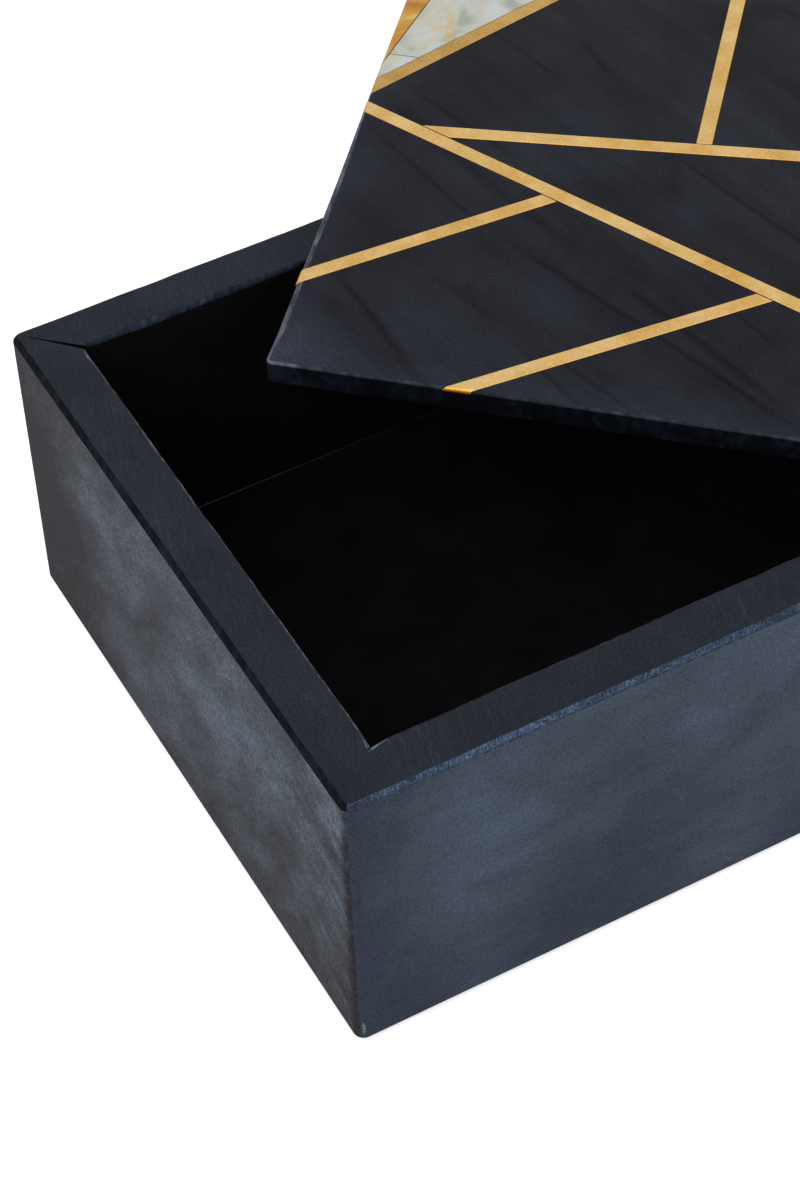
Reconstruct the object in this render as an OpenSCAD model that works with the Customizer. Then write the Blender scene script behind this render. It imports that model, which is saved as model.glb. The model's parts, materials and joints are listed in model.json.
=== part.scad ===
// Trinket box: a mitred black stone box with a loose inlaid stone lid.
// Millimetres, +Z up. The origin is the centre of the felt's underside.
// The lid is drawn as it lies in the photo: turned aside on one corner pad.

/* [Box] */
// Outside width of the box, along X
box_w = 138; // [100:1:220]
// Outside depth of the box, along Y
box_d = 126; // [90:1:200]
// Height of the four walls
wall_h = 62; // [40:1:110]
// Thickness of the wall slabs
wall_t = 10; // [8:0.5:16]
// Thickness of the base slab between the walls
base_t = 12; // [6:0.5:20]

/* [Eased edges] */
// Bevel along the outer edge of the rim
rim_bevel = 1; // [0.4:0.1:1.5]
// Bevel along the bottom edge of the walls
foot_bevel = 0.8; // [0.2:0.1:1.5]
// Flat ground on the upright outer corners
corner_bevel = 1.2; // [0.4:0.1:2]
// Bevel along the top and bottom edges of the lid
lid_bevel = 0.4; // [0.2:0.1:1]

/* [Lid] */
// Thickness of the lid slab
lid_t = 5; // [4:0.5:9]
// Set-back of the closed lid from the outer faces of the walls
lid_reveal = 2; // [1.5:0.5:3]
// Turn of the lid on its corner pad, zero when the box is closed
lid_turn = -42.5; // [-48:0.5:0]

/* [Felt] */
// Thickness of the felt under the box
felt_t = 1; // [0.5:0.1:3]
// Set-back of that felt from the outer faces
felt_inset = 4; // [2:0.5:8]
// Thickness of the felt pads under the lid
pad_t = 0.6; // [0.4:0.1:0.9]
// Diameter of the felt pads
pad_d = 6; // [4:0.5:7]

/* [Brass strips] */
// Width of a strip on the lid's face
strip_w = 3; // [2:0.1:4]
// Depth of a strip in its groove
strip_depth = 1; // [0.6:0.1:2.5]
// Gap where a strip ends against another one
butt_gap = 0.1; // [0.05:0.05:0.3]
// Start of the border strip on the left edge, as a share of the lid's depth
border_start = 0.634; // [0.6:0.002:0.7]
// End of the border strip on the back edge, as a share of the lid's width
border_end = 0.272; // [0.2:0.002:0.35]
// Start of the long strip on the left edge, as a share of the lid's depth
long_start = 0.587; // [0.5:0.002:0.59]
// End of the long strip on the right edge, as a share of the lid's depth
long_end = 0.107; // [0.05:0.002:0.25]
// Start of the branch strip on the long strip, as a share of the lid's width
branch_start = 0.085; // [0.05:0.002:0.2]
// End of the branch strip on the right edge, as a share of the lid's depth
branch_end = 0.643; // [0.55:0.002:0.75]
// Start of the upright strip on the branch strip, as a share of the lid's width
upright_start = 0.479; // [0.35:0.002:0.6]
// End of the upright strip on the back edge, as a share of the lid's width
upright_end = 0.470; // [0.4:0.002:0.6]
// Start of the left strip on the left edge, as a share of the lid's depth
left_start = 0.184; // [0.1:0.002:0.3]
// End of the left strip on the long strip, as a share of the lid's width
left_end = 0.305; // [0.2:0.002:0.4]
// Start of the front strip on the front edge, as a share of the lid's width
front_start = 0.254; // [0.15:0.002:0.35]
// End of the front strip on the long strip, as a share of the lid's width
front_end = 0.622; // [0.5:0.002:0.7]

/* [Onyx] */
// Thickness of the onyx pieces in their corner recess
onyx_t = 2.5; // [1.5:0.1:3]
// Filled seam between two onyx pieces
onyx_seam = 0.2; // [0.1:0.05:0.4]
// Width of the honey piece at the back edge
honey_w = 8; // [4:0.5:10]
// Length of the small white piece along the left edge
chip_len = 8; // [5:0.5:12]

/* [Hidden] */
$fn = 64;

// The lid covers the rim up to the reveal on all four sides
lid_w = box_w - 2*lid_reveal;
lid_d = box_d - 2*lid_reveal;
rim_z = felt_t + wall_h;
lid_z = rim_z + pad_t;

// Each pad sits half-way across the part of the rim that the lid covers
pad_in = (wall_t - lid_reveal)/2;
pivot = [lid_w - pad_in, pad_in];
pad_spots = [[pad_in, pad_in], [pad_in, lid_d - pad_in], [lid_w - pad_in, lid_d - pad_in]];

// Cutting shapes run past the lid by this much
over = 20;
reach = lid_w + lid_d;

// Centre lines of the strips, in lid coordinates from the front left corner
border_a = [0, border_start*lid_d];
border_b = [border_end*lid_w, lid_d];
long_a = [0, long_start*lid_d];
long_b = [lid_w, long_end*lid_d];
branch_a = on_line(long_a, long_b, branch_start*lid_w);
branch_b = [lid_w, branch_end*lid_d];
upright_a = on_line(branch_a, branch_b, upright_start*lid_w);
upright_b = [upright_end*lid_w, lid_d];
left_a = [0, left_start*lid_d];
left_b = on_line(long_a, long_b, left_end*lid_w);
front_a = [front_start*lid_w, 0];
front_b = on_line(long_a, long_b, front_end*lid_w);

// Seams of the onyx field: its corner on the left edge, then the two cuts
field_y = border_a[1] + strip_w/2/dot_x(border_a, border_b);
honey_a = [0, field_y + chip_len/2];
honey_b = [honey_w, lid_d];
chip_a = [0, field_y + chip_len];
chip_b = [lid_w, field_y + chip_len];

function unit(a, b) = (b - a)/norm(b - a);
function left_of(a, b) = [-unit(a, b)[1], unit(a, b)[0]];
function dot_x(a, b) = unit(a, b)[0];
function on_line(a, b, x) = [x, a[1] + (b[1] - a[1])*(x - a[0])/(b[0] - a[0])];

// Plan strip between two points, run past both of them
module band(a, b, w) {
    u = unit(a, b)*over;
    n = left_of(a, b)*w/2;
    polygon([a - u - n, b + u - n, b + u + n, a - u + n]);
}

// Everything to the left of the line from a to b, from a given offset on
module beyond(a, b, offset_by) {
    u = unit(a, b)*reach;
    n = left_of(a, b);
    polygon([a - u + n*offset_by, b + u + n*offset_by, b + u + n*reach, a - u + n*reach]);
}

// One wall slab along X with its outer face at y = 0, mitred at both ends
module wall(run) {
    half = run/2;
    ease = corner_bevel;
    plan = [[-half + ease/2, ease/2], [-half + ease, 0], [half - ease, 0], [half - ease/2, ease/2],
        [half - wall_t, wall_t], [-half + wall_t, wall_t]];
    section = [[foot_bevel, 0], [wall_t, 0], [wall_t, wall_h], [rim_bevel, wall_h],
        [0, wall_h - rim_bevel], [0, foot_bevel]];
    color("#35383f")
        translate([0, 0, felt_t])
            intersection() {
                linear_extrude(wall_h)
                    polygon(plan);
                rotate([90, 0, 90])
                    translate([0, 0, -half])
                        linear_extrude(run)
                            polygon(section);
            }
}

module base_felt() {
    color("#1d1d1f")
        translate([-box_w/2 + felt_inset, -box_d/2 + felt_inset, 0])
            cube([box_w - 2*felt_inset, box_d - 2*felt_inset, felt_t]);
}

module base_slab() {
    color("#2a2c31")
        translate([-box_w/2 + wall_t, -box_d/2 + wall_t, felt_t])
            cube([box_w - 2*wall_t, box_d - 2*wall_t, base_t]);
}

module front_wall() {
    translate([0, -box_d/2, 0])
        wall(box_w);
}

module right_wall() {
    rotate([0, 0, 90])
        translate([0, -box_w/2, 0])
            wall(box_d);
}

module back_wall() {
    rotate([0, 0, 180])
        translate([0, -box_d/2, 0])
            wall(box_w);
}

module left_wall() {
    rotate([0, 0, 270])
        translate([0, -box_w/2, 0])
            wall(box_d);
}

// Puts lid coordinates on the rim, turned about the corner pad
module on_box() {
    translate([-box_w/2 + lid_reveal + pivot[0], -box_d/2 + lid_reveal + pivot[1], lid_z])
        rotate([0, 0, lid_turn])
            translate([-pivot[0], -pivot[1], 0])
                children();
}

// The whole lid as one eased block; every lid piece is a share of it
module lid_block() {
    e = lid_bevel;
    intersection() {
        linear_extrude(lid_t)
            polygon([[e, 0], [lid_w - e, 0], [lid_w, e], [lid_w, lid_d - e],
                [lid_w - e, lid_d], [e, lid_d], [0, lid_d - e], [0, e]]);
        translate([0, lid_d, 0])
            rotate([90, 0, 0])
                linear_extrude(lid_d)
                    polygon([[e, 0], [lid_w - e, 0], [lid_w, e], [lid_w, lid_t - e],
                        [lid_w - e, lid_t], [e, lid_t], [0, lid_t - e], [0, e]]);
        rotate([90, 0, 90])
            linear_extrude(lid_w)
                polygon([[e, 0], [lid_d - e, 0], [lid_d, e], [lid_d, lid_t - e],
                    [lid_d - e, lid_t], [e, lid_t], [0, lid_t - e], [0, e]]);
    }
}

// A layer of the given depth down from the lid's face
module top_layer(depth) {
    translate([0, 0, lid_t - depth])
        linear_extrude(depth + 1)
            children();
}

// Plans of the strips: a strip that meets another one ends gap away from its side
module border_plan() {
    band(border_a, border_b, strip_w);
}

module long_plan() {
    band(long_a, long_b, strip_w);
}

module branch_plan(gap) {
    difference() {
        band(branch_a, branch_b, strip_w);
        beyond(long_b, long_a, -strip_w/2 - gap);
    }
}

module upright_plan(gap) {
    difference() {
        band(upright_a, upright_b, strip_w);
        beyond(branch_b, branch_a, -strip_w/2 - gap);
    }
}

module left_plan(gap) {
    difference() {
        band(left_a, left_b, strip_w);
        beyond(long_a, long_b, -strip_w/2 - gap);
    }
}

module front_plan(gap) {
    difference() {
        band(front_a, front_b, strip_w);
        beyond(long_a, long_b, -strip_w/2 - gap);
    }
}

module lid_slab() {
    color("#2c2d31")
        on_box()
            difference() {
                lid_block();
                top_layer(strip_depth) border_plan();
                top_layer(strip_depth) long_plan();
                top_layer(strip_depth) branch_plan(0);
                top_layer(strip_depth) upright_plan(0);
                top_layer(strip_depth) left_plan(0);
                top_layer(strip_depth) front_plan(0);
                top_layer(onyx_t) beyond(border_a, border_b, strip_w/2);
            }
}

// One inlaid strip, set flush in the lid
module strip() {
    color("#d8ae68")
        on_box()
            intersection() {
                lid_block();
                top_layer(strip_depth) children();
            }
}

module brass_border_strip() {
    strip() border_plan();
}

module brass_long_strip() {
    strip() long_plan();
}

module brass_branch_strip() {
    strip() branch_plan(butt_gap);
}

module brass_upright_strip() {
    strip() upright_plan(butt_gap);
}

module brass_left_strip() {
    strip() left_plan(butt_gap);
}

module brass_front_strip() {
    strip() front_plan(butt_gap);
}

// One onyx piece: the corner field less what its seams take away
module onyx(tint) {
    color(tint)
        on_box()
            difference() {
                intersection() {
                    lid_block();
                    top_layer(onyx_t) beyond(border_a, border_b, strip_w/2);
                }
                translate([0, 0, -1])
                    linear_extrude(lid_t + 2)
                        children();
            }
}

module onyx_main() {
    onyx("#dcdccb") {
        beyond(honey_a, honey_b, -onyx_seam/2);
        beyond(chip_b, chip_a, -onyx_seam/2);
    }
}

module onyx_honey() {
    onyx("#d9a24a")
        beyond(honey_b, honey_a, -onyx_seam/2);
}

module onyx_chip() {
    onyx("#e9e8e2") {
        beyond(honey_a, honey_b, -onyx_seam/2);
        beyond(chip_a, chip_b, -onyx_seam/2);
    }
}

// Felt pad under the lid, centred on its spot
module pad() {
    color("#26262a")
        translate([0, 0, -pad_t])
            cylinder(h = pad_t, d = pad_d);
}

module pivot_pad() {
    on_box()
        translate([pivot[0], pivot[1], 0])
            pad();
}

module lid_pads() {
    on_box()
        for (spot = pad_spots)
            translate([spot[0], spot[1], 0])
                pad();
}

base_felt();
base_slab();
front_wall();
right_wall();
back_wall();
left_wall();
pivot_pad();
lid_pads();
lid_slab();
brass_border_strip();
brass_long_strip();
brass_branch_strip();
brass_upright_strip();
brass_left_strip();
brass_front_strip();
onyx_main();
onyx_honey();
onyx_chip();
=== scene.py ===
# Trinket box: mitred black marble walls and a loose marble lid inlaid with brass and onyx.
# Metres, in the frame of the solids: +X along the front wall, +Y to the back wall, +Z up.
import json
import math

import bmesh
import bpy
from mathutils import Matrix, Vector, noise


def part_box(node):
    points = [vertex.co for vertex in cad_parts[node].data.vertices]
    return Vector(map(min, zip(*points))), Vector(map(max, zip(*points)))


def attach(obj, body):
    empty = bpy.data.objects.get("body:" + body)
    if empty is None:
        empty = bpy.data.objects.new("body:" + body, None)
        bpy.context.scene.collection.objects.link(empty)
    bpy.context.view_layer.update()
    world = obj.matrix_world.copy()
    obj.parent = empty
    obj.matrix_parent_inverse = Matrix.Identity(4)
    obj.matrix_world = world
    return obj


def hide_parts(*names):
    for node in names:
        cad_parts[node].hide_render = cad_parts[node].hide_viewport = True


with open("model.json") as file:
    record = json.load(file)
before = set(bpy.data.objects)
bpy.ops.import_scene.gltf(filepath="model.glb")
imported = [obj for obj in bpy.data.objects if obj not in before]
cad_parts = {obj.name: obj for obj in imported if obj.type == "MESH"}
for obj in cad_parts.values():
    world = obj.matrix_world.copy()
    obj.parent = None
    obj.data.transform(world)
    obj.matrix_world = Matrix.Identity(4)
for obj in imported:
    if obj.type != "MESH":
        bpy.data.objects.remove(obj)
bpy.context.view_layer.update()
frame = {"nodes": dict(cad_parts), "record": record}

MM = 0.001

# Sizes of the box, read from the solids
front_low, front_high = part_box("front_wall")
back_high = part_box("back_wall")[1]
left_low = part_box("left_wall")[0]
right_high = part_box("right_wall")[1]
slab_low, slab_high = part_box("base_slab")
felt_low, felt_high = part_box("base_felt")
pad_low, pad_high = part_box("pivot_pad")
lid_low, lid_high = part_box("lid_slab")
box_w = right_high[0] - left_low[0]
box_d = back_high[1] - front_low[1]
wall_t = front_high[1] - front_low[1]
wall_foot = front_low[2]
wall_h = front_high[2] - front_low[2]

# The lid turns on its front right pad; the turn from closed is the joint's upper limit
swivel = next(j for j in frame["record"]["behaviour"]["joints"] if j["name"] == "lid_swivel")
lid_turn = -math.radians(swivel["range_deg"][1])
lid_middle = Vector(((lid_low[0] + lid_high[0]) / 2, (lid_low[1] + lid_high[1]) / 2, 0))
on_lid = Matrix.Translation(lid_middle) @ Matrix.Rotation(lid_turn, 4, "Z")
pad_spot = on_lid.inverted() @ Vector((*swivel["pos_m"][:2], 0))
lid_z = lid_low[2]
lid_t = lid_high[2] - lid_low[2]
# The lid stops this far short of the walls' outer faces, on every side
LID_REVEAL = 2 * MM
lid_w = box_w - 2 * LID_REVEAL
lid_d = box_d - 2 * LID_REVEAL

# Eased edges of the walls
RIM_BEVEL = 1.0 * MM
FOOT_BEVEL = 0.8 * MM
CORNER_ROUND = 2.0 * MM
INNER_ARRIS = 0.4 * MM
# Share of a round in the rim's bevel, which is flat otherwise
BEVEL_ROUND = 0.35
# Eased edges of the lid and its inlay; brass and onyx stand above the marble, which wears first
LID_ARRIS = 0.45 * MM
LID_RUB = 1.2 * MM
LID_CORNER = 1.2 * MM
LID_SLACK = 0.06 * MM
STRIP_SOFT = 0.25 * MM
ONYX_SOFT = 0.05 * MM
PROUD = 0.1 * MM
# Distances from the lid's front edge at which the rub on its left side is full, starts to fade and ends
RUB_GROWN = 8 * MM
RUB_FADING = 45 * MM
RUB_GONE = 75 * MM
# Edges of the base slab: its upper arris is sharp, and chalky in part
SLAB_ARRIS = 0.06 * MM
SLAB_CHALK = 0.4 * MM
SLAB_FOOT = 0.2 * MM
SLAB_CORNER = 0.3 * MM
# Cut edges of the felt: corner, fuzz, and the share of the thickness that is soft
FELT_CORNER = 1.0 * MM
FELT_FUZZ = 0.12 * MM
PAD_FUZZ = 0.04 * MM
FELT_SOFT = 0.3
# Spacing of the points along the walls, the slabs and the felt, and the points in a round corner
WALL_GAP = 1.0 * MM
SLAB_GAP = 1.2 * MM
FELT_GAP = 0.8 * MM
CORNER_STEPS = 5


def linear(hex_colour):
    """sRGB hex to linear RGBA."""
    values = [int(hex_colour[i:i + 2], 16) / 255 for i in (1, 3, 5)]
    curve = [v / 12.92 if v <= 0.04045 else ((v + 0.055) / 1.055) ** 2.4 for v in values]
    return (*curve, 1.0)


def per_mm(size):
    """Texture scale, in repeats per metre, for a feature of the given size in millimetres."""
    return 1 / (size * MM)


def feed(tree, node, links):
    """Links a node's inputs to sockets, or sets them to plain values."""
    for key, value in links.items():
        if isinstance(value, bpy.types.NodeSocket):
            tree.links.new(value, node.inputs[key])
        else:
            node.inputs[key].default_value = value


def add(tree, kind, out, links, stops=(), **settings):
    """Adds one shader node with its settings, inputs and any colour stops; returns one output."""
    node = tree.nodes.new("ShaderNode" + kind)
    for name, value in settings.items():
        setattr(node, name, value)
    for number, (position, colour) in enumerate(stops):
        if number > 1:
            node.color_ramp.elements.new(position)
        element = node.color_ramp.elements[number]
        element.position = position
        element.color = linear(colour)
    feed(tree, node, links)
    return node.outputs[out]


def new_material(name):
    """Empty node material; returns the material, its tree and its shader."""
    material = bpy.data.materials.new(name)
    material.use_nodes = True
    tree = material.node_tree
    tree.nodes.clear()
    shader = tree.nodes.new("ShaderNodeBsdfPrincipled")
    surface = tree.nodes.new("ShaderNodeOutputMaterial")
    tree.links.new(shader.outputs["BSDF"], surface.inputs["Surface"])
    return material, tree, shader


def place(tree, turn=(0, 0, 0), sizes=None):
    """Object coordinates, turned: in metres, or in features of the given sizes in millimetres."""
    here = add(tree, "TexCoord", "Object", {})
    turned = add(tree, "Mapping", "Vector", {"Vector": here, "Rotation": turn})
    if sizes is None:
        return turned
    return add(tree, "Mapping", "Vector", {"Vector": turned, "Scale": [per_mm(size) for size in sizes]})


def lid_place(tree):
    """Coordinates in metres about the lid's middle, square to its sides."""
    here = add(tree, "TexCoord", "Object", {})
    return add(tree, "Mapping", "Vector", {"Vector": here, "Location": lid_middle,
                                           "Rotation": (0, 0, lid_turn)}, vector_type="TEXTURE")


def near_edge(tree, where, spans):
    """Distance to the nearest of the edges that lie at the low and high ends of the given axes.

    A span that runs on far past its piece measures from its low end alone.
    """
    parts = tree.nodes.new("ShaderNodeSeparateXYZ")
    tree.links.new(where, parts.inputs["Vector"])
    nearest = None
    for axis, (low, high) in spans.items():
        off = add(tree, "Math", 0, {0: parts.outputs[axis], 1: (low + high) / 2}, operation="SUBTRACT")
        far = add(tree, "Math", 0, {0: off}, operation="ABSOLUTE")
        margin = add(tree, "Math", 0, {0: (high - low) / 2, 1: far}, operation="SUBTRACT")
        if nearest is None:
            nearest = margin
        else:
            nearest = add(tree, "Math", 0, {0: nearest, 1: margin}, operation="MINIMUM")
    return nearest


STONE_IOR = 1.5
# Honed and sanded stone scatters most of its gloss, so the mirror part is kept low
STONE_GLOSS = 0.13
LID_GLOSS = 0.05
# Grain and felt fibres, in millimetres: drawn coarser than the real ones, so that they show
HONED_GRAIN = 0.52
FINE_GRAIN = 0.5
METAL_GRAIN = 0.6
FELT_FIBRE = 0.6
# Rubbing marks on the side walls: slope down to the front, reach from the near end, size in millimetres
STROKE_SLANT = math.radians(27)
STROKE_REACH = 30 * MM
STROKE_SIZE = (4, 11, 3.5)
# Beside the upright edges a dark band is full over the first distance, and gone past the second
DARK_BAND_FULL = 0.3 * MM
DARK_BAND_NONE = 2.5 * MM
# Chips at the foot of the near corner: their distances from the corner and the foot, and their soft edge
FOOT_CHIPS_ACROSS = (0.4 * MM, 1.9 * MM)
FOOT_CHIPS_UP = (0.6 * MM, 6 * MM)
FOOT_CHIPS_EDGE = 0.6 * MM


def honed_marble(name, axis, half, cloud_turn, cloud_size, strokes, fade, end_reach, end_shade, foot_shade,
                 foot_chips, grain, shades):
    """Outer faces of the walls: black marble, honed matt by hand.

    Dark grey stone with pale blue-grey clouds where it was rubbed most. It is darker towards both ends
    (end_shade) and the far end (fade), and painted shade darkens it towards the foot (foot_shade).
    Slanting rubbing marks show at the near end (strokes), and pale chips at that end's foot (foot_chips).
    A narrow dark band runs beside the upright edges. A fine mineral grain covers it all (grain).
    """
    material, tree, shader = new_material(name)
    where = place(tree)
    broad = add(tree, "TexNoise", "Fac", {"Vector": where, "Scale": per_mm(38), "Detail": 2})
    blown = place(tree, cloud_turn, cloud_size)
    fine = add(tree, "TexNoise", "Fac", {"Vector": blown, "Scale": 1, "Detail": 7,
                                         "Roughness": 0.62, "Distortion": 0.3})
    clouds = add(tree, "Mix", 0, {0: 0.5, 2: broad, 3: fine})
    slanted = place(tree, (-STROKE_SLANT, 0, 0), STROKE_SIZE)
    marks = add(tree, "TexNoise", "Fac", {"Vector": slanted, "Scale": 1, "Detail": 4, "Roughness": 0.6,
                                          "Distortion": 0.5})
    marks = add(tree, "Math", 0, {0: marks, 1: 0.5}, operation="SUBTRACT")
    from_near = near_edge(tree, where, {axis: (-half, 3 * half)})
    hand = add(tree, "MapRange", 0, {"Value": from_near, "From Max": STROKE_REACH, "To Min": strokes,
                                     "To Max": 0})
    rubbed = add(tree, "Math", 0, {0: marks, 1: hand, 2: clouds}, operation="MULTIPLY_ADD")
    sweep = add(tree, "MapRange", 0, {"Value": from_near, "From Min": 1.2 * half, "From Max": 2 * half,
                                      "To Min": 0.15 * fade, "To Max": -fade},
                interpolation_type="SMOOTHSTEP")
    rubbed = add(tree, "Math", 0, {0: rubbed, 1: sweep}, operation="ADD")
    # Painted shade: the tone falls towards the foot (foot_shade), added to the rubbed tone
    from_foot = near_edge(tree, where, {"Z": (wall_foot, wall_foot + 3 * wall_h)})
    low = add(tree, "MapRange", 0, {"Value": from_foot, "From Max": 0.6 * wall_h, "To Min": -foot_shade,
                                    "To Max": 0})
    rubbed = add(tree, "Math", 0, {0: rubbed, 1: low}, operation="ADD")
    inward = near_edge(tree, where, {axis: (-half, half)})
    held_back = add(tree, "MapRange", 0, {"Value": inward, "From Max": end_reach, "To Min": -end_shade,
                                          "To Max": 0.01})
    tone = add(tree, "Math", 0, {0: rubbed, 1: held_back}, operation="ADD")
    upright_dark_band = add(tree, "MapRange", 0, {"Value": inward, "From Min": DARK_BAND_FULL, "From Max": DARK_BAND_NONE,
                                       "To Min": -0.2, "To Max": 0})
    tone = add(tree, "Math", 0, {0: tone, 1: upright_dark_band}, operation="ADD")
    base = add(tree, "ValToRGB", "Color", {"Fac": tone}, shades)
    grit = add(tree, "TexNoise", "Fac", {"Vector": where, "Scale": per_mm(HONED_GRAIN), "Detail": 2,
                                         "Roughness": 0.7})
    speck = add(tree, "ValToRGB", "Color", {"Fac": grit}, ((0.35, grain), (0.65, "#ffffff")))
    base = add(tree, "Mix", 2, {0: 0.9, 6: base, 7: speck}, data_type="RGBA", blend_type="MULTIPLY")
    foot_corner = {axis: [across - half for across in FOOT_CHIPS_ACROSS],
                   "Z": [wall_foot + up for up in FOOT_CHIPS_UP]}
    knocked = add(tree, "MapRange", 0, {"Value": near_edge(tree, where, foot_corner),
                                        "From Max": FOOT_CHIPS_EDGE})
    knocks = add(tree, "TexNoise", "Fac", {"Vector": where, "Scale": per_mm(1.1), "Detail": 2})
    knocks = add(tree, "Math", 0, {0: knocks, 1: knocked}, operation="MULTIPLY")
    chipped = add(tree, "MapRange", 0, {"Value": knocks, "From Min": 0.42, "From Max": 0.58,
                                        "To Max": foot_chips})
    base = add(tree, "Mix", 2, {0: chipped, 6: base, 7: linear("#8b8e97")}, data_type="RGBA")
    rough = add(tree, "MapRange", 0, {"Value": tone, "From Min": 0.3, "From Max": 0.7,
                                      "To Min": 0.66, "To Max": 0.5})
    bump = add(tree, "Bump", 0, {"Height": grit, "Strength": 0.12, "Distance": 0.1 * MM})
    feed(tree, shader, {"Base Color": base, "Roughness": rough, "Normal": bump, "IOR": STONE_IOR,
                        "Specular IOR Level": STONE_GLOSS})
    return material


# Scratches on the rim: drawn about 0.4 mm wide, coarser than the real grit, so that they show
SCRATCH_SLANT = math.radians(18)
SCRATCH_SIZE = (0.4, 5, 4)


def sanded_marble():
    """Rim of the box: sawn and sanded with a coarse grit, so fine slanting scratches show in patches."""
    material, tree, shader = new_material("sanded_black_marble")
    clouds = add(tree, "TexNoise", "Fac", {"Vector": place(tree), "Scale": per_mm(13), "Detail": 5,
                                           "Roughness": 0.6})
    base = add(tree, "ValToRGB", "Color", {"Fac": clouds}, ((0.35, "#1f252e"), (0.65, "#29303c")))
    hatch = place(tree, (0, 0, SCRATCH_SLANT), SCRATCH_SIZE)
    marks = add(tree, "TexNoise", "Fac", {"Vector": hatch, "Scale": 1, "Detail": 4, "Roughness": 0.7,
                                          "Distortion": 0.4})
    lines = add(tree, "ValToRGB", "Color", {"Fac": marks}, ((0.36, "#c8c8c8"), (0.64, "#ffffff")))
    base = add(tree, "Mix", 2, {0: 0.5, 6: base, 7: lines}, data_type="RGBA", blend_type="MULTIPLY")
    patches = add(tree, "TexNoise", "Fac", {"Vector": place(tree), "Scale": per_mm(20), "Detail": 2})
    rough_patch = add(tree, "MapRange", 0, {"Value": patches, "From Min": 0.46, "From Max": 0.6})
    scratch = add(tree, "MapRange", 0, {"Value": marks, "From Min": 0.54, "From Max": 0.68, "To Max": 0.2})
    scratch = add(tree, "Math", 0, {0: scratch, 1: rough_patch}, operation="MULTIPLY")
    base = add(tree, "Mix", 2, {0: scratch, 6: base, 7: linear("#4d5a6d")}, data_type="RGBA")
    grit = add(tree, "TexNoise", "Fac", {"Vector": place(tree), "Scale": per_mm(FINE_GRAIN), "Detail": 2,
                                         "Roughness": 0.7})
    speck = add(tree, "ValToRGB", "Color", {"Fac": grit}, ((0.35, "#a8a8ac"), (0.65, "#ffffff")))
    base = add(tree, "Mix", 2, {0: 0.9, 6: base, 7: speck}, data_type="RGBA", blend_type="MULTIPLY")
    rough = add(tree, "MapRange", 0, {"Value": marks, "From Min": 0.3, "From Max": 0.7,
                                      "To Min": 0.6, "To Max": 0.5})
    bump = add(tree, "Bump", 0, {"Height": marks, "Strength": 0.1, "Distance": 0.05 * MM})
    feed(tree, shader, {"Base Color": base, "Roughness": rough, "Normal": bump, "IOR": STONE_IOR,
                        "Specular IOR Level": STONE_GLOSS})
    return material


# Marks on the worn edges slant by this much, and the lid's edges are paler this far from its left side,
# as a painted highlight
MARK_SLANT = math.radians(35)
LEFT_HIGHLIGHT_REACH = 20 * MM


def worn_marble(name, mark_size, gloss, shades, left_highlight=0.0):
    """Bevels and arrises: the tool bruises the stone there, so chalky blue-grey streaks show.

    The last argument makes it paler towards the lid's left side, as a painted highlight.
    """
    material, tree, shader = new_material(name)
    hatch = place(tree, (0, 0, MARK_SLANT), mark_size)
    marks = add(tree, "TexNoise", "Fac", {"Vector": hatch, "Scale": 1, "Detail": 3, "Roughness": 0.65})
    patches = add(tree, "TexNoise", "Fac", {"Vector": place(tree), "Scale": per_mm(8), "Detail": 3})
    both = add(tree, "Mix", 0, {0: 0.4, 2: marks, 3: patches})
    # Painted highlight: paler towards the lid's left side
    if left_highlight:
        from_left = near_edge(tree, lid_place(tree), {"X": (-lid_w / 2, 1.5 * lid_w)})
        lift = add(tree, "MapRange", 0, {"Value": from_left, "From Max": LEFT_HIGHLIGHT_REACH,
                                         "To Min": left_highlight, "To Max": 0})
        both = add(tree, "Math", 0, {0: both, 1: lift}, operation="ADD")
    base = add(tree, "ValToRGB", "Color", {"Fac": both}, shades)
    rough = add(tree, "MapRange", 0, {"Value": marks, "From Min": 0.3, "From Max": 0.7,
                                      "To Min": 0.65, "To Max": 0.5})
    bump = add(tree, "Bump", 0, {"Height": marks, "Strength": 0.2, "Distance": 0.05 * MM})
    feed(tree, shader, {"Base Color": base, "Roughness": rough, "Normal": bump, "IOR": STONE_IOR,
                        "Specular IOR Level": gloss})
    return material


# Saw ridges inside the box, in millimetres along the axes
SAW_RIDGES = (12, 12, 0.8)


def sawn_marble():
    """Inside of the box: sawn and left matt. Its near-black colour, darker than the stone outside, is
    painted shade.
    """
    material, tree, shader = new_material("sawn_marble_painted_shade")
    clouds = add(tree, "TexNoise", "Fac", {"Vector": place(tree), "Scale": per_mm(14), "Detail": 5,
                                           "Roughness": 0.6})
    base = add(tree, "ValToRGB", "Color", {"Fac": clouds}, ((0.35, "#070708"), (0.65, "#101013")))
    saw = place(tree, sizes=SAW_RIDGES)
    ridges = add(tree, "TexNoise", "Fac", {"Vector": saw, "Scale": 1, "Detail": 2})
    bump = add(tree, "Bump", 0, {"Height": ridges, "Strength": 0.2, "Distance": 0.1 * MM})
    feed(tree, shader, {"Base Color": base, "Roughness": 0.85, "Normal": bump, "IOR": STONE_IOR,
                        "Specular IOR Level": 0.06})
    return material


# Veins and streaks of the lid: angle to its front edge, and sizes in millimetres along, across and up
VEIN_SLANT = math.radians(37)
VEIN_SIZE = (150, 19, 60)
STREAK_SIZE = (70, 4.5, 12)
# The lid's edges are dusty this far in, and its front left corner is paler with painted light this far in
EDGE_DUST = 8 * MM
CORNER_LIGHT_REACH = 24 * MM


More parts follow.
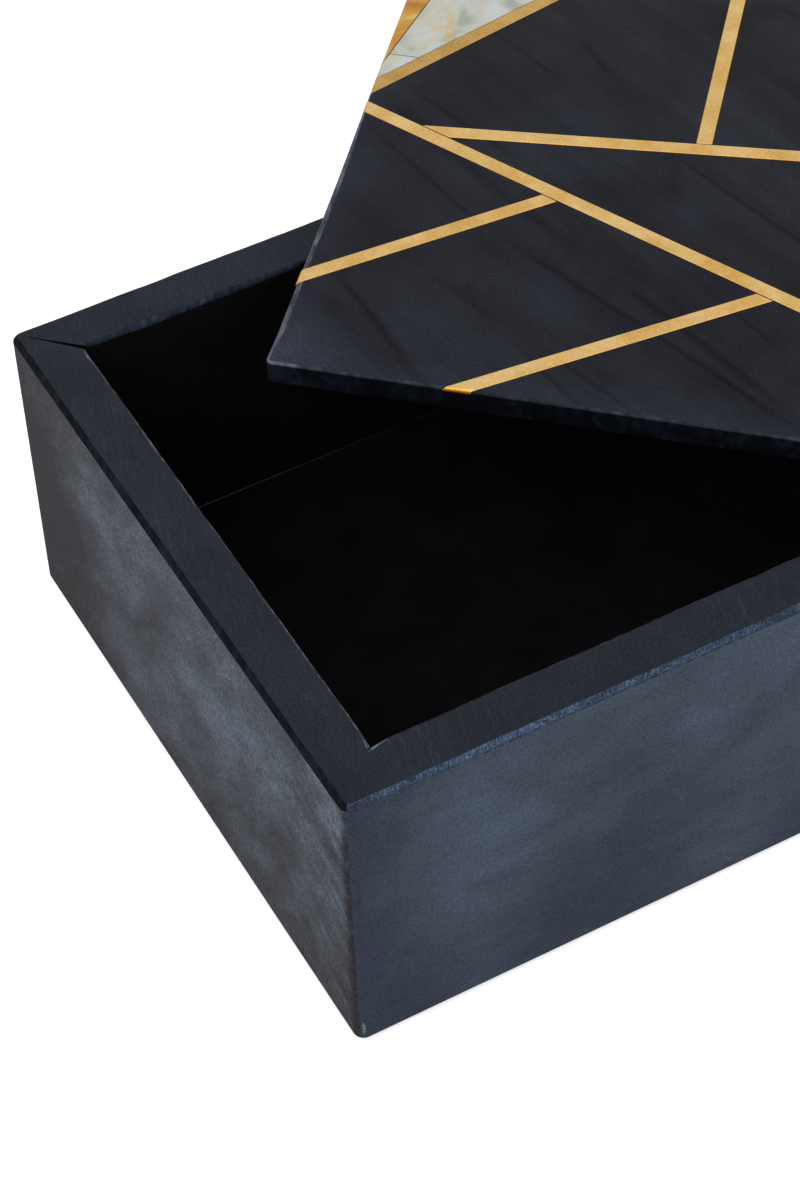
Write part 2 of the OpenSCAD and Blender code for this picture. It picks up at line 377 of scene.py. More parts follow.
def veined_marble():
    """Lid: finer black marble, honed smooth, with a few dark veins that run on under the brass.

    The lid's edges are rubbed, so they turn a dusty blue-grey; its front left corner is paler still with
    painted light.
    """
    material, tree, shader = new_material("veined_black_marble")
    along = VEIN_SLANT - lid_turn
    flow = place(tree, (0, 0, along), VEIN_SIZE)
    waver = add(tree, "TexNoise", "Color", {"Vector": flow, "Scale": 2.5, "Detail": 3})
    flow = add(tree, "VectorMath", 0, {0: waver, 1: (0.12, 0.12, 0.0), 2: flow}, operation="MULTIPLY_ADD")
    cracks = add(tree, "TexVoronoi", "Distance", {"Vector": flow, "Scale": 1}, feature="DISTANCE_TO_EDGE")
    vein = add(tree, "MapRange", 0, {"Value": cracks, "From Max": 0.035, "To Min": 1, "To Max": 0})
    patchy = add(tree, "TexNoise", "Fac", {"Vector": place(tree), "Scale": per_mm(30), "Detail": 2})
    shown = add(tree, "MapRange", 0, {"Value": patchy, "From Min": 0.4, "From Max": 0.56, "To Max": 0.6})
    vein = add(tree, "Math", 0, {0: vein, 1: shown}, operation="MULTIPLY")
    flow = place(tree, (0, 0, along), STREAK_SIZE)
    streaks = add(tree, "TexNoise", "Fac", {"Vector": flow, "Scale": 1, "Detail": 3, "Distortion": 0.2})
    streak = add(tree, "ValToRGB", "Color", {"Fac": streaks}, ((0.3, "#c6c6cc"), (0.6, "#ffffff")))
    clouds = add(tree, "TexNoise", "Fac", {"Vector": place(tree), "Scale": per_mm(20), "Detail": 5,
                                           "Roughness": 0.6})
    base = add(tree, "ValToRGB", "Color", {"Fac": clouds},
               ((0.36, "#25262d"), (0.5, "#2a2c33"), (0.66, "#2f323b")))
    local = lid_place(tree)
    inward = near_edge(tree, local, {"X": (-lid_w / 2, lid_w / 2), "Y": (-lid_d / 2, lid_d / 2)})
    dust_and_corner_light = add(tree, "MapRange", 0, {"Value": inward, "From Max": EDGE_DUST, "To Min": 0.45, "To Max": 0.0})
    # Painted light: the front left corner turns paler
    from_left = near_edge(tree, local, {"X": (-lid_w / 2, 1.5 * lid_w)})
    from_front = near_edge(tree, local, {"Y": (-lid_d / 2, 1.5 * lid_d)})
    from_corner = add(tree, "Math", 0, {0: from_left, 1: from_front}, operation="ADD")
    painted_corner_light = add(tree, "MapRange", 0, {"Value": from_corner, "From Max": CORNER_LIGHT_REACH, "To Min": 2.0,
                                        "To Max": 0.0})
    dust_and_corner_light = add(tree, "Math", 0, {0: dust_and_corner_light, 1: painted_corner_light}, operation="MAXIMUM")
    uneven_dust = add(tree, "TexNoise", "Fac", {"Vector": local, "Scale": per_mm(5), "Detail": 6,
                                                "Roughness": 0.7})
    rubbed = add(tree, "Math", 0, {0: dust_and_corner_light, 1: uneven_dust}, operation="MULTIPLY")
    base = add(tree, "Mix", 2, {0: vein, 6: base, 7: linear("#0c0b0e")}, data_type="RGBA")
    base = add(tree, "Mix", 2, {0: 0.7, 6: base, 7: streak}, data_type="RGBA", blend_type="MULTIPLY")
    base = add(tree, "Mix", 2, {0: rubbed, 6: base, 7: linear("#424656")}, data_type="RGBA")
    grit = add(tree, "TexNoise", "Fac", {"Vector": local, "Scale": per_mm(FINE_GRAIN), "Detail": 2})
    speck = add(tree, "ValToRGB", "Color", {"Fac": grit}, ((0.3, "#b8b8ba"), (0.7, "#ffffff")))
    base = add(tree, "Mix", 2, {0: 0.8, 6: base, 7: speck}, data_type="RGBA", blend_type="MULTIPLY")
    rough = add(tree, "MapRange", 0, {"Value": clouds, "From Min": 0.3, "From Max": 0.7,
                                      "To Min": 0.46, "To Max": 0.4})
    bump = add(tree, "Bump", 0, {"Height": grit, "Strength": 0.05, "Distance": 0.1 * MM})
    feed(tree, shader, {"Base Color": base, "Roughness": rough, "Normal": bump, "IOR": STONE_IOR,
                        "Specular IOR Level": LID_GLOSS})
    return material


def ground_brass(name, low, high):
    """Brass strip, ground on top: pale gold with a fine grain, and deeper gold on its edges as a painted
    reflection.
    """
    material, tree, shader = new_material(name)
    where = place(tree)
    cloud = add(tree, "TexNoise", "Fac", {"Vector": where, "Scale": per_mm(6), "Detail": 4})
    base = add(tree, "ValToRGB", "Color", {"Fac": cloud}, ((0.35, low), (0.65, high)))
    grit = add(tree, "TexNoise", "Fac", {"Vector": where, "Scale": per_mm(METAL_GRAIN), "Detail": 3,
                                         "Roughness": 0.7})
    shade = add(tree, "ValToRGB", "Color", {"Fac": grit}, ((0.3, "#e2dcd2"), (0.7, "#ffffff")))
    base = add(tree, "Mix", 2, {0: 0.8, 6: base, 7: shade}, data_type="RGBA", blend_type="MULTIPLY")
    # Painted reflection: faces that turn away from straight up take a deeper gold
    facing = add(tree, "SeparateXYZ", "Z", {"Vector": add(tree, "NewGeometry", "Normal", {})})
    flat = add(tree, "MapRange", 0, {"Value": facing, "From Min": 0.6, "From Max": 0.97})
    base = add(tree, "Mix", 2, {0: flat, 6: linear("#b57a10"), 7: base}, data_type="RGBA")
    rough = add(tree, "MapRange", 0, {"Value": grit, "From Min": 0.3, "From Max": 0.7,
                                      "To Min": 0.5, "To Max": 0.42})
    bump = add(tree, "Bump", 0, {"Height": grit, "Strength": 0.06, "Distance": 0.05 * MM})
    feed(tree, shader, {"Base Color": base, "Roughness": rough, "Normal": bump, "Metallic": 1.0})
    return material


ONYX_IOR = 1.49
ONYX_POLISH = 0.22
# How deep light enters the onyx
ONYX_GLOW = 1.2 * MM
# Stains and bands in the onyx: turn in radians, and sizes in millimetres along the turned axes
STAIN_TURN = 0.7
STAIN_SIZE = (7, 13, 10)
BAND_TURN = 0.3
BAND_SIZE = (16, 8, 8)


def pale_onyx():
    """Onyx, polished: milky white that light enters a little, with grey-green and yellow clouds."""
    material, tree, shader = new_material("polished_pale_onyx")
    where = place(tree)
    clouds = add(tree, "TexNoise", "Fac", {"Vector": where, "Scale": per_mm(11), "Detail": 4,
                                           "Distortion": 1.4})
    base = add(tree, "ValToRGB", "Color", {"Fac": clouds},
               ((0.36, "#a9ada2"), (0.47, "#c6c9bb"), (0.62, "#d0d3d3")))
    flow = place(tree, (0, 0, STAIN_TURN), STAIN_SIZE)
    amber = add(tree, "TexNoise", "Fac", {"Vector": flow, "Scale": 1, "Detail": 4, "Distortion": 1.2})
    stain = add(tree, "MapRange", 0, {"Value": amber, "From Min": 0.53, "From Max": 0.7, "To Max": 0.7})
    base = add(tree, "Mix", 2, {0: stain, 6: base, 7: linear("#d3b874")}, data_type="RGBA")
    feed(tree, shader, {"Base Color": base, "Roughness": ONYX_POLISH, "IOR": ONYX_IOR,
                        "Subsurface Weight": 0.2,
                        "Subsurface Radius": (1.0, 0.9, 0.7), "Subsurface Scale": ONYX_GLOW})
    return material


def honey_onyx():
    """Honey onyx, polished: amber with paler bands along it."""
    material, tree, shader = new_material("polished_honey_onyx")
    flow = place(tree, (0, 0, BAND_TURN), BAND_SIZE)
    bands = add(tree, "TexNoise", "Fac", {"Vector": flow, "Scale": 1, "Detail": 4, "Distortion": 0.7})
    base = add(tree, "ValToRGB", "Color", {"Fac": bands},
               ((0.36, "#b4700a"), (0.48, "#cf9220"), (0.58, "#d9ad48"), (0.68, "#e2c788")))
    feed(tree, shader, {"Base Color": base, "Roughness": ONYX_POLISH, "IOR": ONYX_IOR,
                        "Subsurface Weight": 0.15,
                        "Subsurface Radius": (1.0, 0.7, 0.35), "Subsurface Scale": ONYX_GLOW})
    return material


def wool_felt():
    """Pressed wool felt: short fibres lie every way, so it is matt with a soft sheen."""
    material, tree, shader = new_material("black_wool_felt")
    fibres = add(tree, "TexNoise", "Fac", {"Vector": place(tree), "Scale": per_mm(FELT_FIBRE), "Detail": 6,
                                           "Roughness": 0.7})
    base = add(tree, "ValToRGB", "Color", {"Fac": fibres}, ((0.35, "#101012"), (0.65, "#242427")))
    bump = add(tree, "Bump", 0, {"Height": fibres, "Strength": 0.6, "Distance": 0.2 * MM})
    feed(tree, shader, {"Base Color": base, "Roughness": 0.95, "Normal": bump, "Sheen Weight": 0.25,
                        "Specular IOR Level": 0.1})
    return material


SIDE = honed_marble("honed_side_marble", "Y", box_d / 2, cloud_turn=(math.radians(45), 0, 0),
                    cloud_size=(11, 19, 8), strokes=0.8, fade=0.16, end_reach=8 * MM, end_shade=0.07,
                    foot_shade=0.1, foot_chips=0.0, grain="#5a5a5a",
                    shades=((0.34, "#2e2d35"), (0.45, "#41444f"), (0.53, "#4c5461"), (0.66, "#647284")))
LONG = honed_marble("honed_long_marble", "X", box_w / 2, cloud_turn=(0, 0, 0),
                    cloud_size=(20, 20, 10), strokes=0.0, fade=0.0, end_reach=25 * MM, end_shade=0.2,
                    foot_shade=0.09, foot_chips=0.6, grain="#bcbcbc",
                    shades=((0.34, "#353e4f"), (0.45, "#3d4759"), (0.54, "#455061"), (0.66, "#4f5c71")))
RIM = sanded_marble()
# Marks on the worn edges, in millimetres across, along and up
SHORT_MARKS = (0.3, 0.6, 0.5)
LONG_MARKS = (0.9, 4, 2)
BROAD_MARKS = (1.4, 4, 2)
LID_MARKS = (2, 6, 2.5)
# Front and back bevels: saw marks, made bright with a painted highlight
SAWN_HIGHLIGHT_EDGE = worn_marble("sawn_marble_edge_painted_highlight", SHORT_MARKS, STONE_GLOSS,
                        ((0.39, "#1a232f"), (0.5, "#334257"), (0.61, "#566a89")))
# Side walls' bevels and the bevel feet of the right, back and left walls: near black, painted shade
SHADED_EDGE = worn_marble("honed_marble_edge_painted_shade", LONG_MARKS, 0.03,
                        ((0.38, "#0b0d11"), (0.5, "#13161c"), (0.64, "#1e222a")))
# Chips show pale worn stone; they and the left wall's inner arris are brightened with a painted highlight
PALE_HIGHLIGHT_EDGE = worn_marble("rubbed_marble_edge_painted_highlight", LONG_MARKS, STONE_GLOSS,
                        ((0.4, "#1e232b"), (0.5, "#3a414c"), (0.64, "#6e7783")))
DULL_EDGE = worn_marble("dull_marble_edge", LONG_MARKS, 0.05,
                        ((0.46, "#14171c"), (0.54, "#1e222a"), (0.68, "#4a515c")))
WORN_EDGE = worn_marble("worn_marble_edge", LONG_MARKS, 0.05,
                        ((0.36, "#171c24"), (0.5, "#232a37"), (0.64, "#364254")))
SEAM_EDGE = worn_marble("bevel_foot_edge", LONG_MARKS, 0.05,
                        ((0.36, "#232a35"), (0.5, "#333d4c"), (0.64, "#465366")))
CHALK_EDGE = worn_marble("chalky_marble_edge", BROAD_MARKS, STONE_GLOSS,
                         ((0.36, "#3a4049"), (0.5, "#6a717c"), (0.64, "#979ea8")))
# Lid's arrises: worn marks, paler towards the left with a painted highlight
LID_EDGE = worn_marble("rubbed_lid_edge_painted_highlight", LID_MARKS, 0.08,
                       ((0.38, "#1a1e26"), (0.52, "#262c37"), (0.66, "#3a424f"), (0.8, "#686b7c")), 0.26)
# Lid's sides and underside: a near-black copy of the lid's stone, painted shade, paler to the left with
# painted light
LID_SIDE_SHADE = worn_marble("lid_side_painted_shade", LID_MARKS, 0.03,
                       ((0.38, "#07080b"), (0.52, "#0d1016"), (0.68, "#1b2029")), 0.12)
# Painted shade: inside faces of the walls, the base slab and the mitres' cut ends
INSIDE_SHADE = sawn_marble()
LID = veined_marble()
BRASS = ground_brass("ground_brass", "#d4ac62", "#e1c184")
# Border strip: a darker copy of the same brass, painted shade
SHADED_BRASS = ground_brass("ground_border_brass_painted_shade", "#ba9350", "#caa766")
PALE = pale_onyx()
HONEY = honey_onyx()
FELT = wool_felt()


def link_piece(name, mesh, body, slot, *nodes):
    """Puts a mesh in the scene as a piece that stands for its solids."""
    piece = bpy.data.objects.new(name, mesh)
    bpy.context.scene.collection.objects.link(piece)
    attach(piece, body)
    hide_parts(*nodes)
    return piece


# Lines through the noise lie this far apart from seed to seed, and this far off its grid
SEED_SPREAD = 7.3
OFF_GRID = 0.5


def wander(x, seed, pitch):
    """Smooth random value between -1 and 1 along a length."""
    return noise.noise(Vector((x / pitch, seed * SEED_SPREAD, OFF_GRID)))


def uneven(x, seed, *waves):
    """Factor about 1 that wanders along a length; each wave has a share and a pitch."""
    swings = [share * wander(x, seed + number, pitch) for number, (share, pitch) in enumerate(waves)]
    return sum(swings, start=1.0)


EASE_STEPS = 4
# Faces that meet at more than this are shaded apart
SHARP_ANGLE = math.radians(32)
# Points closer than this are one point, in a built mesh and in a solid's mesh
BUILT_WELD = 1e-7
SOLID_WELD = 1e-6


def quarter(k, size, share):
    """Point k of an eased edge, as distance across and up: share 0 is a flat bevel, 1 a round."""
    flat = k / EASE_STEPS
    turn = flat * math.pi / 2
    across = (1 - share) * flat + share * (1 - math.cos(turn))
    up = (1 - share) * flat + share * math.sin(turn)
    return size * across, size * up


def skin(build, rings, kinds, closed):
    """Joins rings of vertices with quads; kinds are the material numbers along each ring."""
    count = len(rings) if closed else len(rings) - 1
    for number in range(count):
        first = rings[number]
        second = rings[(number + 1) % len(rings)]
        for k, kind in enumerate(kinds[number]):
            after = (k + 1) % len(first)
            face = build.faces.new((first[k], first[after], second[after], second[k]))
            face.material_index = kind
            face.smooth = True


def close_mesh(build, name, materials):
    """Turns a finished bmesh into a mesh with its materials."""
    bmesh.ops.remove_doubles(build, verts=build.verts, dist=BUILT_WELD)
    bmesh.ops.recalc_face_normals(build, faces=build.faces)
    mesh = bpy.data.meshes.new(name)
    build.to_mesh(mesh)
    build.free()
    for material in materials:
        mesh.materials.append(material)
    mesh.set_sharp_from_angle(angle=SHARP_ANGLE)
    return mesh


# Narrow strip beside each eased edge that keeps the wide faces' shading flat
HOLD = 0.4 * MM
OUTER, RIM_FACE, BEVEL, ARRIS, INNER, CHIPPED, BEVEL_FOOT = range(7)


def wall_section(bevel, arris, arris_face):
    """Outline of a wall: distance in from its outer face, height, and the face that follows."""
    outline = [(wall_t, 0.0, OUTER), (FOOT_BEVEL + HOLD, 0.0, OUTER)]
    for k in range(EASE_STEPS + 1):
        up, across = quarter(k, FOOT_BEVEL, 1.0)
        outline.append((FOOT_BEVEL - across, up, OUTER))
    outline.append((0.0, FOOT_BEVEL + HOLD, OUTER))
    outline.append((0.0, wall_h - bevel - HOLD, OUTER))
    for k in range(EASE_STEPS + 1):
        across, up = quarter(k, bevel, BEVEL_ROUND)
        face = BEVEL_FOOT if k == 0 else BEVEL if k < EASE_STEPS else RIM_FACE
        outline.append((across, wall_h - bevel + up, face))
    outline.append((bevel + HOLD, wall_h, RIM_FACE))
    outline.append((wall_t - arris - HOLD, wall_h, RIM_FACE))
    for k in range(EASE_STEPS + 1):
        down, across = quarter(k, arris, 1.0)
        outline.append((wall_t - arris + across, wall_h - down, arris_face if k < EASE_STEPS else INNER))
    outline.append((wall_t, wall_h - arris - HOLD, INNER))
    return outline


# Chips in each wall's inner edge: place as a share of the inner half length, width and depth.
# The back wall's two are broad worn stretches.
CHIPS = {
    "front_wall": ((-1.0, 2.4 * MM, 1.0 * MM), (-0.9, 4.0 * MM, 0.18 * MM), (0.22, 1.5 * MM, 0.12 * MM)),
    "right_wall": ((0.4, 1.2 * MM, 0.2 * MM),),
    "back_wall": ((0.78, 13.0 * MM, 0.4 * MM), (0.45, 13.0 * MM, 0.4 * MM)),
    "left_wall": ((-0.94, 1.8 * MM, 0.3 * MM), (0.3, 2.0 * MM, 0.15 * MM), (0.99, 1.6 * MM, 0.4 * MM)),
}
# Wear deeper than this shows a chip's stone
CHIP_SHOWS = 0.2 * MM
# How far each mitre stands open at the inner corner, at the wall's left and right end as seen from outside
MITRE_GAP = {
    "front_wall": (0.02 * MM, 0.05 * MM),
    "right_wall": (0.05 * MM, 0.05 * MM),
    "back_wall": (0.05 * MM, 0.7 * MM),
    "left_wall": (0.7 * MM, 0.02 * MM),
}
# Power of the depth by which a mitre opens towards the inner corner
MITRE_CURVE = 2.5
# Painted light by wall: front and back bevels a painted highlight, side bevels and the right, back and left
# bevel feet painted shade, the left wall's inner arris a painted highlight, and the inside painted shade
WALL_STONE = {
    "front_wall": (LONG, RIM, SAWN_HIGHLIGHT_EDGE, DULL_EDGE, INSIDE_SHADE, PALE_HIGHLIGHT_EDGE, SEAM_EDGE),
    "right_wall": (SIDE, RIM, SHADED_EDGE, DULL_EDGE, INSIDE_SHADE, PALE_HIGHLIGHT_EDGE, SHADED_EDGE),
    "back_wall": (LONG, RIM, SAWN_HIGHLIGHT_EDGE, DULL_EDGE, INSIDE_SHADE, WORN_EDGE, SHADED_EDGE),
    "left_wall": (SIDE, RIM, SHADED_EDGE, PALE_HIGHLIGHT_EDGE, INSIDE_SHADE, PALE_HIGHLIGHT_EDGE, SHADED_EDGE),
}


def wall_mesh(name, run, turn, seed):
    """A mitred slab with hand-worn edges, lofted along its length and turned into place."""
    half = run / 2
    count = int(run / WALL_GAP)
    stations = [(-1.0, k / CORNER_STEPS) for k in range(CORNER_STEPS, 0, -1)]
    stations += [(-1.0 + 2.0 * k / count, 0.0) for k in range(count + 1)]
    stations += [(1.0, k / CORNER_STEPS) for k in range(1, CORNER_STEPS + 1)]
    offset = box_d / 2 if run == box_w else box_w / 2
    into_place = Matrix.Rotation(turn, 4, "Z") @ Matrix.Translation((0, -offset, wall_foot))
    build = bmesh.new()
    rings = []
    kinds = []
    for share, arc in stations:
        x = share * half
        bevel = RIM_BEVEL * uneven(x, seed, (0.1, 7 * MM), (0.06, 2 * MM))
        arris = INNER_ARRIS * uneven(x, seed + 2, (0.5, 9 * MM), (0.3, 2 * MM))
        arris_face = ARRIS
        for spot, width, bite in CHIPS[name]:
            away = (share - spot) * (half - wall_t) / width
            wear = bite * math.exp(-away * away)
            arris += wear
            if wear > CHIP_SHOWS:
                arris_face = CHIPPED
        ring = []
        section = wall_section(bevel, arris, arris_face)
        for inward, up, kind in section:
            across = share * (half - max(inward, CORNER_ROUND))
            depth = inward
            if inward < CORNER_ROUND:
                angle = arc * math.pi / 4
                radius = CORNER_ROUND - inward
                across += share * radius * math.sin(angle)
                depth = CORNER_ROUND - radius * math.cos(angle)
            if abs(share) == 1.0:
                gap = MITRE_GAP[name][0 if share < 0 else 1]
                across -= share * gap * (inward / wall_t) ** MITRE_CURVE
            ring.append(build.verts.new(into_place @ Vector((across, depth, up))))
        rings.append(ring)
        kinds.append([kind for _, _, kind in section])
    skin(build, rings, kinds, False)
    # The cut ends take the inside's painted shade, so the open mitres look dark
    for ring in (rings[0], rings[-1]):
        cut = build.faces.new(ring)
        cut.material_index = INNER
    return close_mesh(build, name + "_marble", WALL_STONE[name])


WALLS = (("front_wall", box_w, 0.0), ("right_wall", box_d, math.pi / 2),
         ("back_wall", box_w, math.pi), ("left_wall", box_d, 1.5 * math.pi))
# Each wall draws its wear from seeds of its own
FIRST_SEED = 11
SEEDS_PER_WALL = 5
for order, (wall, run, turn) in enumerate(WALLS):
    stone = wall_mesh(wall, run, turn, FIRST_SEED + SEEDS_PER_WALL * order)
    link_piece(wall + "_marble", stone, "box", "box_stone", wall)


def round_rectangle(width, depth, radius, spacing):
    """Points of a rounded rectangle about the origin, each with its outward direction."""
    points = []
    for side in range(4):
        run = (width, depth)[side % 2] - 2 * radius
        out = (depth, width)[side % 2] / 2
        turn = Matrix.Rotation(side * math.pi / 2, 2)
        count = max(2, int(run / spacing))
        for k in range(count):
            along = -run / 2 + run * k / count
            points.append((turn @ Vector((along, -out)), turn @ Vector((0, -1))))
        for k in range(CORNER_STEPS):
            angle = k / CORNER_STEPS * math.pi / 2
            away = Vector((math.sin(angle), -math.cos(angle)))
            centre = Vector((run / 2, -out + radius))
            points.append((turn @ (centre + radius * away), turn @ away))
    return points


def eased_plate(name, outline, levels, to_place, materials):
    """Flat plate: levels gives, for a place on the outline, distances in, heights and materials."""
    build = bmesh.new()
    rings = []
    kinds = []
    travelled = 0.0
    previous = outline[0][0]
    for point, away in outline:
        travelled += (point - previous).length
        previous = point
        section = levels(travelled, point, away)
        rings.append([build.verts.new(to_place @ Vector((*(point - away * inward), up)))
                      for inward, up, _ in section])
        kinds.append([kind for _, _, kind in section])
    skin(build, rings, [along[:-1] for along in kinds], True)
    for level in (0, -1):
        face = build.faces.new([ring[level] for ring in rings])
        face.material_index = kinds[0][level]
    return close_mesh(build, name, materials)


def skin_levels(thickness, foot, low_ease, high_ease, kinds):
    """Levels of a plate with eased edges, from its underside up to its top."""
    base, edge, top = kinds
    levels = []
    for k in range(EASE_STEPS + 1):
        up, across = quarter(k, low_ease, 1.0)
        levels.append((low_ease - across, foot + up, base))
    for k in range(EASE_STEPS + 1):
        across, up = quarter(k, high_ease, 1.0)
        levels.append((across, foot + thickness - high_ease + up, edge if k < EASE_STEPS else top))
    return levels


def lid_levels(travelled, point, away):
    """The lid's edge: eased a little unevenly, and rubbed rounder on the front half of its left side."""
    from_front = point.y + lid_d / 2
    grown = min(1.0, from_front / RUB_GROWN)
    left_over = min(1.0, max(0.0, (RUB_GONE - from_front) / (RUB_GONE - RUB_FADING)))
    size = LID_ARRIS + (LID_RUB - LID_ARRIS) * max(0.0, -away.x) * grown * left_over
    high = size * uneven(travelled, 3, (0.15, 8 * MM), (0.05, 2 * MM))
    low = LID_ARRIS * uneven(travelled, 5, (0.6, 6 * MM), (0.3, 2 * MM))
    slack = LID_SLACK * uneven(travelled, 7, (1.0, 10 * MM))
    levels = skin_levels(lid_t - PROUD, lid_z, low, high, (2, 1, 0))
    return [(inward + slack, up, kind) for inward, up, kind in levels]


lid_outline = round_rectangle(lid_w, lid_d, LID_CORNER, SLAB_GAP)
lid_mesh = eased_plate("lid_slab_marble", lid_outline, lid_levels, on_lid, [LID, LID_EDGE, LID_SIDE_SHADE])
link_piece("lid_slab_marble", lid_mesh, "lid", "lid_stone", "lid_slab")


# The chalky arris starts at this share of the slab's half width, and lies where the edge faces the back
CHALK_START = -0.05
FACES_BACK = 0.7


def base_levels(travelled, point, away):
    """The base slab's edge: its upper arris is chalky along the back wall, most at the left end."""
    size = SLAB_ARRIS
    if away.y > FACES_BACK:
        size += SLAB_CHALK * max(0.0, CHALK_START - point.x / slab_high[0])
    high = size * uneven(travelled, 8, (0.3, 9 * MM), (0.2, 2 * MM))
    return skin_levels(slab_high[2] - slab_low[2], slab_low[2], SLAB_FOOT, high, (0, 1, 0))


slab_w = slab_high[0] - slab_low[0]
slab_d = slab_high[1] - slab_low[1]
slab_outline = round_rectangle(slab_w, slab_d, SLAB_CORNER, SLAB_GAP)
slab_mesh = eased_plate("base_slab_marble", slab_outline, base_levels, Matrix.Identity(4),
                        [INSIDE_SHADE, CHALK_EDGE])
link_piece("base_slab_marble", slab_mesh, "box", "box_stone", "base_slab")


def fuzzy_edge(thick, foot, slack):
    """Levels of a cut felt edge: soft above and below, and drawn in by the slack."""
    soft = FELT_SOFT * thick
    levels = skin_levels(thick, foot, soft, soft, (0, 0, 0))
    return [(inward + slack, up, kind) for inward, up, kind in levels]


def felt_levels(travelled, point, away):
    """The felt sheet's cut edge, a little fuzzy."""
    slack = FELT_FUZZ * uneven(travelled, 10, (1.0, 1.5 * MM))
    return fuzzy_edge(felt_high[2] - felt_low[2], felt_low[2], slack)


felt_w = felt_high[0] - felt_low[0]
felt_d = felt_high[1] - felt_low[1]
felt_outline = round_rectangle(felt_w, felt_d, FELT_CORNER, FELT_GAP)
felt_mesh = eased_plate("base_felt_sheet", felt_outline, felt_levels, Matrix.Identity(4), [FELT])
felt_piece = link_piece("base_felt_sheet", felt_mesh, "box", "felt", "base_felt")


# A pad ends this far above the rim, so that their faces never coincide
PAD_HAIR = 0.02 * MM
PAD_SIDES = 40
pad_r = (pad_high[0] - pad_low[0]) / 2


def pad_levels(travelled, point, away):
    """A punched felt pad's edge."""
    slack = PAD_FUZZ * uneven(travelled, 12, (1.0, 0.8 * MM))
    return fuzzy_edge(pad_high[2] - pad_low[2] - PAD_HAIR, pad_low[2] + PAD_HAIR, slack)


def felt_pads(name, spots):
    """Round felt pads at the given spots of the lid, as one mesh."""
    whole = bmesh.new()
    for x, y in spots:
        circle = []
        for k in range(PAD_SIDES):
            angle = k / PAD_SIDES * math.tau
            away = Vector((math.cos(angle), math.sin(angle)))
            circle.append((pad_r * away, away))
        mesh = eased_plate(name, circle, pad_levels, on_lid @ Matrix.Translation((x, y, 0)), [FELT])
        whole.from_mesh(mesh)
        bpy.data.meshes.remove(mesh)
    return close_mesh(whole, name, [FELT])


pivot_mesh = felt_pads("pivot_pad_felt", [pad_spot[:2]])
pivot_piece = link_piece("pivot_pad_felt", pivot_mesh, "pivot", "felt", "pivot_pad")
other_spots = [(-pad_spot.x, pad_spot.y), (pad_spot.x, -pad_spot.y), (-pad_spot.x, -pad_spot.y)]
pads_mesh = felt_pads("lid_pads_felt", other_spots)
pads_piece = link_piece("lid_pads_felt", pads_mesh, "lid", "felt", "lid_pads")


# Edges of a solid that turn by more than this are eased
EASED_ANGLE = math.radians(20)


def softened(node, width):
    """Copy of a solid's mesh with its outer edges eased."""
    build = bmesh.new()
    build.from_mesh(frame["nodes"][node].data)
    bmesh.ops.remove_doubles(build, verts=build.verts, dist=SOLID_WELD)
    edges = [e for e in build.edges if e.is_convex and e.calc_face_angle() > EASED_ANGLE]
    eased = bmesh.ops.bevel(build, geom=edges, offset=width, segments=3, profile=0.5,
                            affect="EDGES", clamp_overlap=True)
    for face in eased["faces"]:
        face.smooth = True
    mesh = bpy.data.meshes.new(node + "_laid")
    build.to_mesh(mesh)
    build.free()
    return mesh


LID_INLAY = {
    "brass_border_strip": (STRIP_SOFT, SHADED_BRASS, "brass"),
    "brass_long_strip": (STRIP_SOFT, BRASS, "brass"),
    "brass_branch_strip": (STRIP_SOFT, BRASS, "brass"),
    "brass_upright_strip": (STRIP_SOFT, BRASS, "brass"),
    "brass_left_strip": (STRIP_SOFT, BRASS, "brass"),
    "brass_front_strip": (STRIP_SOFT, BRASS, "brass"),
    "onyx_main": (ONYX_SOFT, PALE, "pale_onyx"),
    "onyx_honey": (ONYX_SOFT, HONEY, "honey_onyx"),
    "onyx_chip": (ONYX_SOFT, PALE, "pale_onyx"),
}
for node, (width, material, slot) in LID_INLAY.items():
    mesh = softened(node, width)
    mesh.materials.clear()
    mesh.materials.append(material)
    link_piece(node + "_laid", mesh, "lid", slot, node)


def look_from(position, aim, roll):
    """Camera matrix at a position, looking at a point, rolled about its own axis."""
    ahead = (aim - position).normalized()
    level = ahead.cross(Vector((0, 0, 1))).normalized()
    upward = level.cross(ahead)
    right = level * math.cos(roll) + upward * math.sin(roll)
    top = right.cross(ahead)
    turn = Matrix((right, top, -ahead)).transposed().to_4x4()
    return Matrix.Translation(position) @ turn


# The photo's view, found by fitting the box's edges: a long lens above the front left corner
CAMERA_SPOT = Vector((-201.9, -343.2, 447.5)) * MM
CAMERA_AIM = Vector((-40.1, -28.5, 63.0)) * MM
CAMERA_ROLL = math.radians(-2.34)
camera_data = bpy.data.cameras.new("photo_view")
camera_data.lens = 96
camera_data.sensor_width = 36
camera_data.clip_start = 0.01
camera = bpy.data.objects.new("photo_view", camera_data)
bpy.context.scene.collection.objects.link(camera)
camera.matrix_world = look_from(CAMERA_SPOT, CAMERA_AIM, CAMERA_ROLL)
bpy.context.scene.camera = camera


# Lamps: the point they are turned to and their width, in metres
LAMP_AIM = Vector((0, 0, 0.05))
LAMP_SIZE = 1.2


def soft_box(name, position, power):
    """Square area lamp turned to the box; its power is in watts."""
    lamp = bpy.data.lights.new(name, "AREA")
    lamp.size = LAMP_SIZE
    lamp.energy = power
    thing = bpy.data.objects.new(name, lamp)
    thing.location = position
    thing.rotation_euler = (LAMP_AIM - Vector(position)).to_track_quat("-Z", "Y").to_euler()
    bpy.context.scene.collection.objects.link(thing)


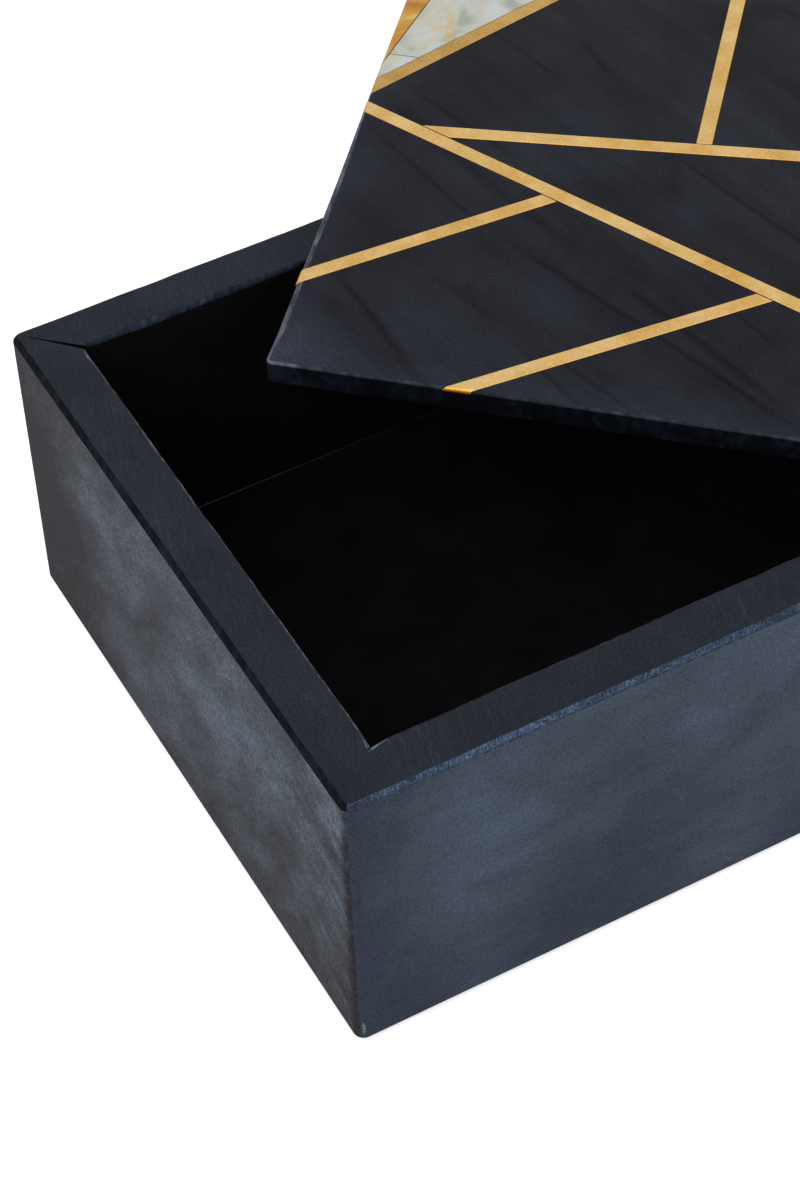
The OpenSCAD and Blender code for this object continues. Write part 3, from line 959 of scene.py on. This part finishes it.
soft_box("key_soft_box", (-0.9, -0.5, 1.3), 12)
soft_box("fill_soft_box", (1.1, -0.7, 1.1), 6)

# White studio: rays from the camera or off gloss see white, and all others a dimmer, plain light
ROOM_LEVEL = 0.45
world = bpy.data.worlds.new("white_studio")
world.use_nodes = True
bpy.context.scene.world = world
sky = world.node_tree
sky.nodes.clear()
path = sky.nodes.new("ShaderNodeLightPath")
seen = add(sky, "Math", 0, {0: path.outputs["Is Camera Ray"], 1: path.outputs["Is Glossy Ray"]},
           operation="MAXIMUM")
level = add(sky, "MapRange", 0, {"Value": seen, "To Min": ROOM_LEVEL, "To Max": 1.0})
glow = add(sky, "Background", 0, {"Color": linear("#ffffff"), "Strength": level})
surface = sky.nodes.new("ShaderNodeOutputWorld")
sky.links.new(glow, surface.inputs["Surface"])

# Pale floor: it takes the shadow, and light of its own brings it up to white in the picture.
# In gloss it glows less.
FLOOR_LIFT = 0.55
FLOOR_SHINE = 0.2
FLOOR_DROP = 0.05 * MM
FLOOR_REACH = 2.0
paper, tree, shader = new_material("white_paper_floor")
path = tree.nodes.new("ShaderNodeLightPath")
lift = add(tree, "Math", 0, {0: path.outputs["Is Camera Ray"], 1: FLOOR_LIFT}, operation="MULTIPLY")
shine = add(tree, "Math", 0, {0: path.outputs["Is Glossy Ray"], 1: FLOOR_SHINE}, operation="MULTIPLY")
lift = add(tree, "Math", 0, {0: lift, 1: shine}, operation="ADD")
feed(tree, shader, {"Base Color": linear("#f2f2f2"), "Roughness": 0.9, "Specular IOR Level": 0.0,
                    "Emission Color": linear("#ffffff"), "Emission Strength": lift})
ground = bmesh.new()
bmesh.ops.create_grid(ground, x_segments=1, y_segments=1, size=FLOOR_REACH)
floor_mesh = bpy.data.meshes.new("floor")
ground.to_mesh(floor_mesh)
ground.free()
floor_mesh.materials.append(paper)
floor = bpy.data.objects.new("floor", floor_mesh)
floor.location = (0, 0, -FLOOR_DROP)
bpy.context.scene.collection.objects.link(floor)

bpy.context.scene.view_settings.view_transform = "Standard"
